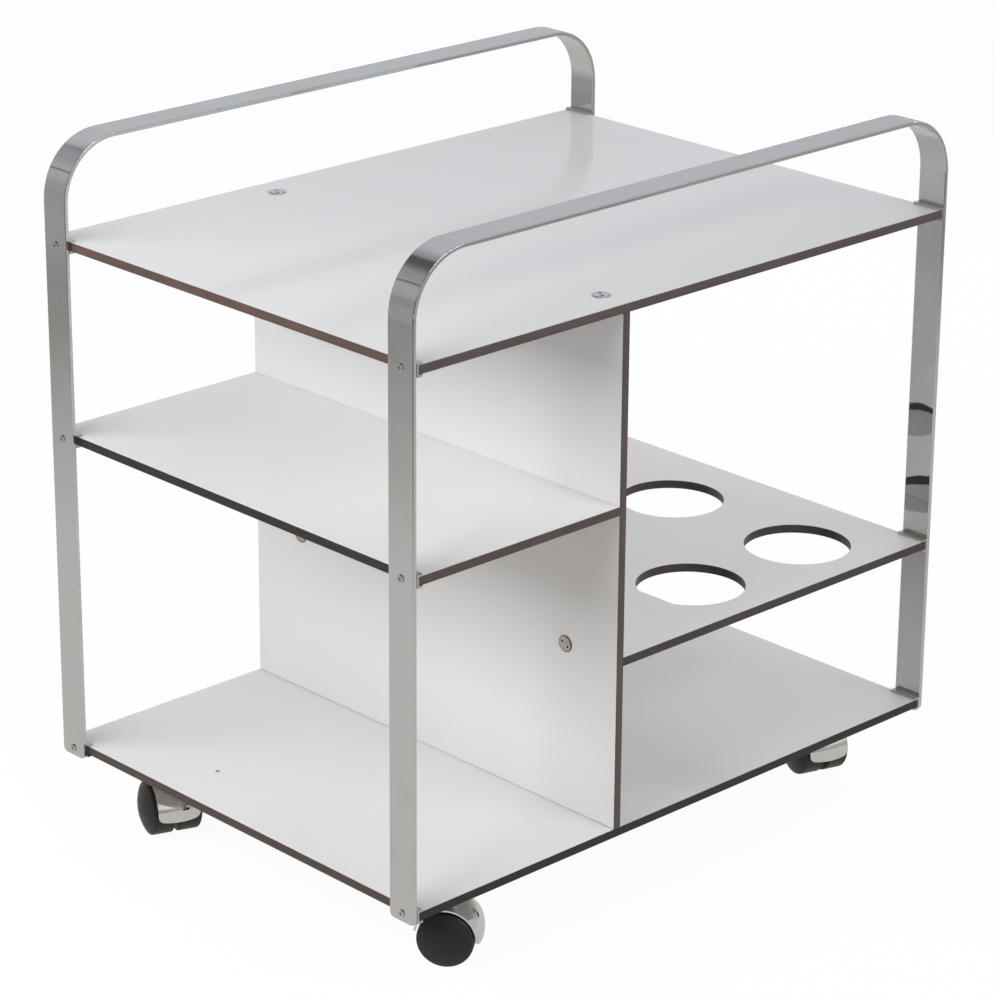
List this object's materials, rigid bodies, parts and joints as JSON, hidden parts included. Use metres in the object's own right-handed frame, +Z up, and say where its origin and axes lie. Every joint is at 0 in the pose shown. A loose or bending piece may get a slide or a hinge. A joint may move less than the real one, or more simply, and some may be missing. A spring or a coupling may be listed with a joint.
{
  "type": "serving trolley",
  "caption": "Serving trolley: gloss laminate shelves, divider and bottle rack held between bent flat-bar hoops, rolling on hooded swivel casters.",
  "frame": {"origin": "on the floor, under the middle of the trolley", "axes": "+Z up, +X along the shelves towards the bottle rack, +Y from the front rail to the rear rail"},
  "size_m": [0.6504, 0.475, 0.651],
  "materials": {
    "chrome": "polished plate",
    "laminate": "gloss, dark core at the edges",
    "clip": "plated sheet",
    "fastener": "plated",
    "zinc": "zinc plate",
    "hood": "polished plate",
    "core": "moulded",
    "wheel": "smooth moulded"
  },
  "bodies": {
    "trolley": {"front_hoop": "chrome", "rear_hoop": "chrome", "top_shelf": "laminate", "bottom_shelf": "laminate", "side_shelf": "laminate", "bottle_shelf": "laminate", "divider_panel": "laminate", "front_left_bottom_clip": "clip", "front_left_side_clip": "clip", "front_left_top_clip": "clip", "front_right_bottom_clip": "clip", "front_right_bottle_clip": "clip", "front_right_top_clip": "clip", "rear_left_bottom_clip": "clip", "rear_left_side_clip": "clip", "rear_left_top_clip": "clip", "rear_right_bottom_clip": "clip", "rear_right_bottle_clip": "clip", "rear_right_top_clip": "clip", "front_leg_screws": "fastener", "rear_leg_screws": "fastener", "top_shelf_bolts": "fastener", "bottom_shelf_bolts": "fastener", "bottle_shelf_bolts": "fastener", "side_shelf_bolts": "fastener", "front_left_caster_plate": "zinc", "front_left_caster_screws": "fastener", "rear_left_caster_plate": "zinc", "rear_left_caster_screws": "fastener", "front_right_caster_plate": "zinc", "front_right_caster_screws": "fastener", "rear_right_caster_plate": "zinc", "rear_right_caster_screws": "fastener"},
    "front_left_swivel": {"front_left_caster_stem": "zinc", "front_left_caster_core": "core", "front_left_caster_hood": "hood", "front_left_caster_axle": "zinc"},
    "front_left_wheel_a": {"front_left_wheel_a": "wheel"},
    "front_left_wheel_b": {"front_left_wheel_b": "wheel"},
    "rear_left_swivel": {"rear_left_caster_stem": "zinc", "rear_left_caster_core": "core", "rear_left_caster_hood": "hood", "rear_left_caster_axle": "zinc"},
    "rear_left_wheel_a": {"rear_left_wheel_a": "wheel"},
    "rear_left_wheel_b": {"rear_left_wheel_b": "wheel"},
    "front_right_swivel": {"front_right_caster_stem": "zinc", "front_right_caster_core": "core", "front_right_caster_hood": "hood", "front_right_caster_axle": "zinc"},
    "front_right_wheel_a": {"front_right_wheel_a": "wheel"},
    "front_right_wheel_b": {"front_right_wheel_b": "wheel"},
    "rear_right_swivel": {"rear_right_caster_stem": "zinc", "rear_right_caster_core": "core", "rear_right_caster_hood": "hood", "rear_right_caster_axle": "zinc"},
    "rear_right_wheel_a": {"rear_right_wheel_a": "wheel"},
    "rear_right_wheel_b": {"rear_right_wheel_b": "wheel"}
  },
  "joints": [
    {"name": "front_left_swivel_turn", "type": "hinge", "parent": "trolley", "child": "front_left_swivel", "pos_m": [-0.258, -0.178, 0.058], "axis": [0, 0, 1], "continuous": true},
    {"name": "front_left_wheel_a_spin", "type": "hinge", "parent": "front_left_swivel", "child": "front_left_wheel_a", "pos_m": [-0.24476, -0.19557, 0.025], "axis": [0.7986, 0.6018, 0], "continuous": true},
    {"name": "front_left_wheel_b_spin", "type": "hinge", "parent": "front_left_swivel", "child": "front_left_wheel_b", "pos_m": [-0.24476, -0.19557, 0.025], "axis": [0.7986, 0.6018, 0], "continuous": true},
    {"name": "rear_left_swivel_turn", "type": "hinge", "parent": "trolley", "child": "rear_left_swivel", "pos_m": [-0.258, 0.178, 0.058], "axis": [0, 0, 1], "continuous": true},
    {"name": "rear_left_wheel_a_spin", "type": "hinge", "parent": "rear_left_swivel", "child": "rear_left_wheel_a", "pos_m": [-0.26552, 0.15733, 0.025], "axis": [0.9397, -0.342, 0], "continuous": true},
    {"name": "rear_left_wheel_b_spin", "type": "hinge", "parent": "rear_left_swivel", "child": "rear_left_wheel_b", "pos_m": [-0.26552, 0.15733, 0.025], "axis": [0.9397, -0.342, 0], "continuous": true},
    {"name": "front_right_swivel_turn", "type": "hinge", "parent": "trolley", "child": "front_right_swivel", "pos_m": [0.272, -0.136, 0.058], "axis": [0, 0, 1], "continuous": true},
    {"name": "front_right_wheel_a_spin", "type": "hinge", "parent": "front_right_swivel", "child": "front_right_wheel_a", "pos_m": [0.2652, -0.15692, 0.025], "axis": [0.9511, -0.309, 0], "continuous": true},
    {"name": "front_right_wheel_b_spin", "type": "hinge", "parent": "front_right_swivel", "child": "front_right_wheel_b", "pos_m": [0.2652, -0.15692, 0.025], "axis": [0.9511, -0.309, 0], "continuous": true},
    {"name": "rear_right_swivel_turn", "type": "hinge", "parent": "trolley", "child": "rear_right_swivel", "pos_m": [0.272, 0.136, 0.058], "axis": [0, 0, 1], "continuous": true},
    {"name": "rear_right_wheel_a_spin", "type": "hinge", "parent": "rear_right_swivel", "child": "rear_right_wheel_a", "pos_m": [0.27008, 0.11408, 0.025], "axis": [0.9962, -0.0872, 0], "continuous": true},
    {"name": "rear_right_wheel_b_spin", "type": "hinge", "parent": "rear_right_swivel", "child": "rear_right_wheel_b", "pos_m": [0.27008, 0.11408, 0.025], "axis": [0.9962, -0.0872, 0], "continuous": true}
  ]
}
